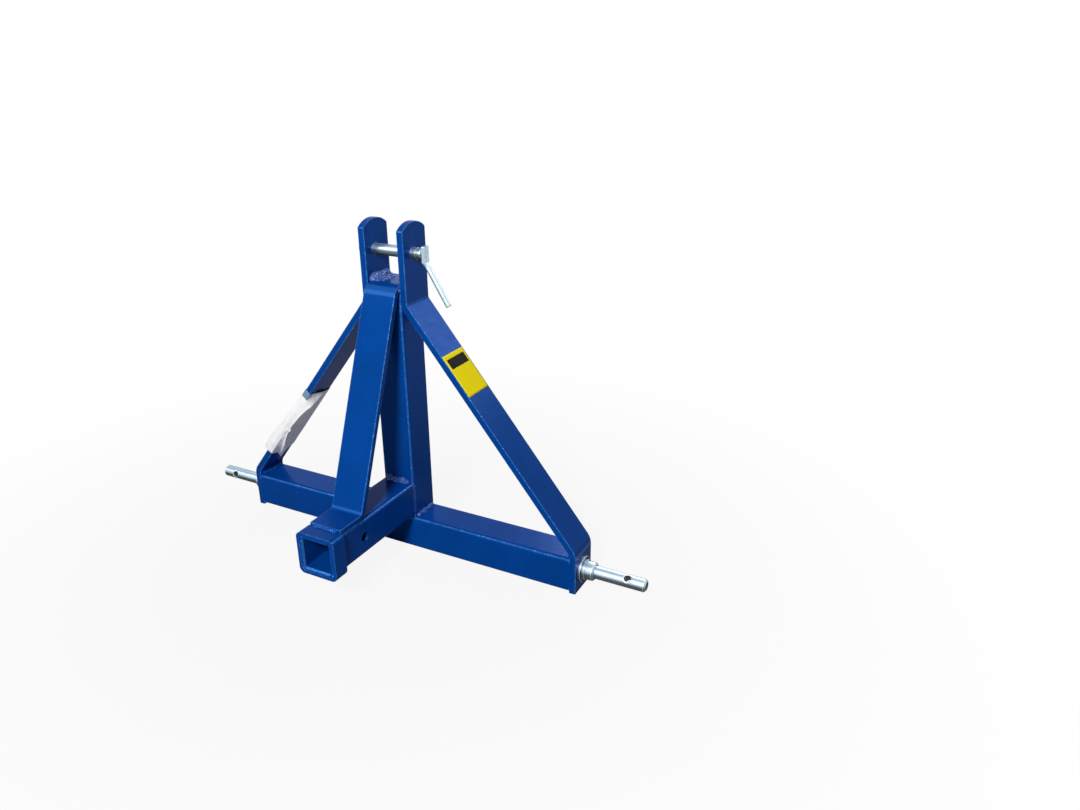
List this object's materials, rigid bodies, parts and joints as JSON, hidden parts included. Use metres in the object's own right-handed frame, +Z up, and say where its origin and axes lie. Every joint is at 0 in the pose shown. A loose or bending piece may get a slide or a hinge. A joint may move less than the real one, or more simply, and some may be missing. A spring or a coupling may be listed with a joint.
{
  "type": "three-point trailer hitch",
  "caption": "Welded tractor hitch: crossbar, sloping arms meeting in clevis ears, square receiver under a bent brace, fixed lower pins and a pull-out top pin with a hinged handle.",
  "frame": {"origin": "on the floor, under the middle of the whole hitch's box", "axes": "+X along the crossbar and both lower pins to the right as seen from the receiver, -Y out of the receiver's mouth, +Z up along the mast"},
  "size_m": [0.928, 0.2904, 0.5937],
  "materials": {
    "blue_paint": "gloss blue paint over welded steel",
    "zinc": "bright zinc plate",
    "white_film": "creased white wrapping sheet"
  },
  "bodies": {
    "frame": {"crossbar": "blue_paint", "mast_post": "blue_paint", "left_arm": "blue_paint", "right_arm": "blue_paint", "receiver_tube": "blue_paint", "receiver_collar": "blue_paint", "brace_bar": "blue_paint", "lower_pin_left": "zinc", "lower_pin_right": "zinc", "pin_washer_left": "zinc", "pin_washer_right": "zinc", "lock_washer_left": "zinc", "lock_washer_right": "zinc", "pin_nut_left": "zinc", "pin_nut_right": "zinc", "crossbar_end_welds": "blue_paint", "post_base_welds": "blue_paint", "receiver_welds": "blue_paint", "brace_foot_welds": "blue_paint", "brace_top_welds": "blue_paint", "ear_welds": "blue_paint", "arm_sleeve": "white_film"},
    "link_pin": {"top_link_pin": "zinc", "handle_rivet": "zinc"},
    "handle": {"pin_handle": "zinc"}
  },
  "joints": [
    {"name": "top_pin_slide", "type": "slide", "parent": "frame", "child": "link_pin", "axis": [1, 0, 0], "range_m": [-0.02, 0.106]},
    {"name": "handle_swing", "type": "hinge", "parent": "link_pin", "child": "handle", "pos_m": [0.06455, 0.10585, 0.54375], "axis": [1, 0, 0], "continuous": true}
  ]
}
